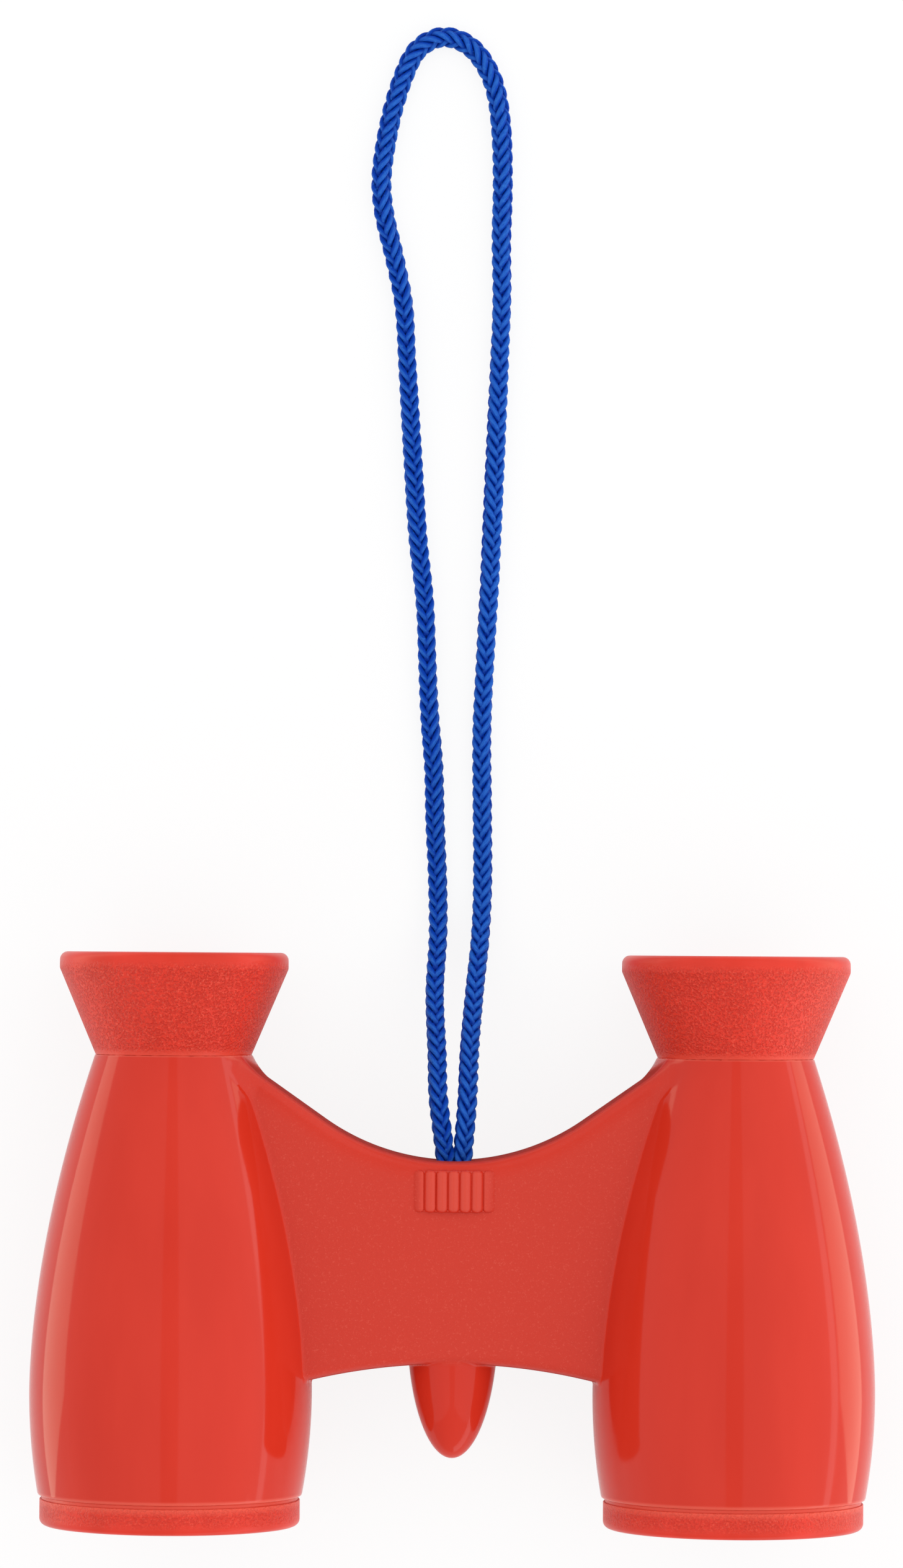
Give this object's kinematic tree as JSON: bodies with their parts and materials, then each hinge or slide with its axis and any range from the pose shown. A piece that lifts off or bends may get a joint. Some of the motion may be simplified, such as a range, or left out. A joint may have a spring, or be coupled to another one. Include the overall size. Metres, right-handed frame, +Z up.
{
  "type": "toy binoculars",
  "caption": "Toy binoculars with swelling barrels, flared eyecups, a hollow bridge with a ribbed pad and a peg, and a braided neck cord laid out behind them.",
  "frame": {"origin": "on the floor, under the middle of the box around the binoculars without their cord", "axes": "+X from the left barrel to the right one as seen from above, +Y along the floor towards the eyecups and the cord, +Z up; the barrels slope down 3.7 degrees towards the eyecups, as they lie at rest"},
  "size_m": [0.0902, 0.1611, 0.0303],
  "materials": {
    "shell_red": "glossy barrels and peg, finely grained matte bridge",
    "grained_red": "fine pebbled grain with smooth rims",
    "lens_clear": "clear polished",
    "screw_steel": "zinc plated",
    "cord_blue": "braided"
  },
  "bodies": {
    "root": {"upper_body_shell": "shell_red", "lower_body_shell": "shell_red", "left_eyecup": "grained_red", "right_eyecup": "grained_red", "left_eyepiece_lens": "lens_clear", "right_eyepiece_lens": "lens_clear", "left_objective_ring": "grained_red", "right_objective_ring": "grained_red", "left_objective_lens": "lens_clear", "right_objective_lens": "lens_clear", "body_screws": "screw_steel", "cord_knot": "cord_blue", "neck_cord": "cord_blue"}
  },
  "joints": []
}
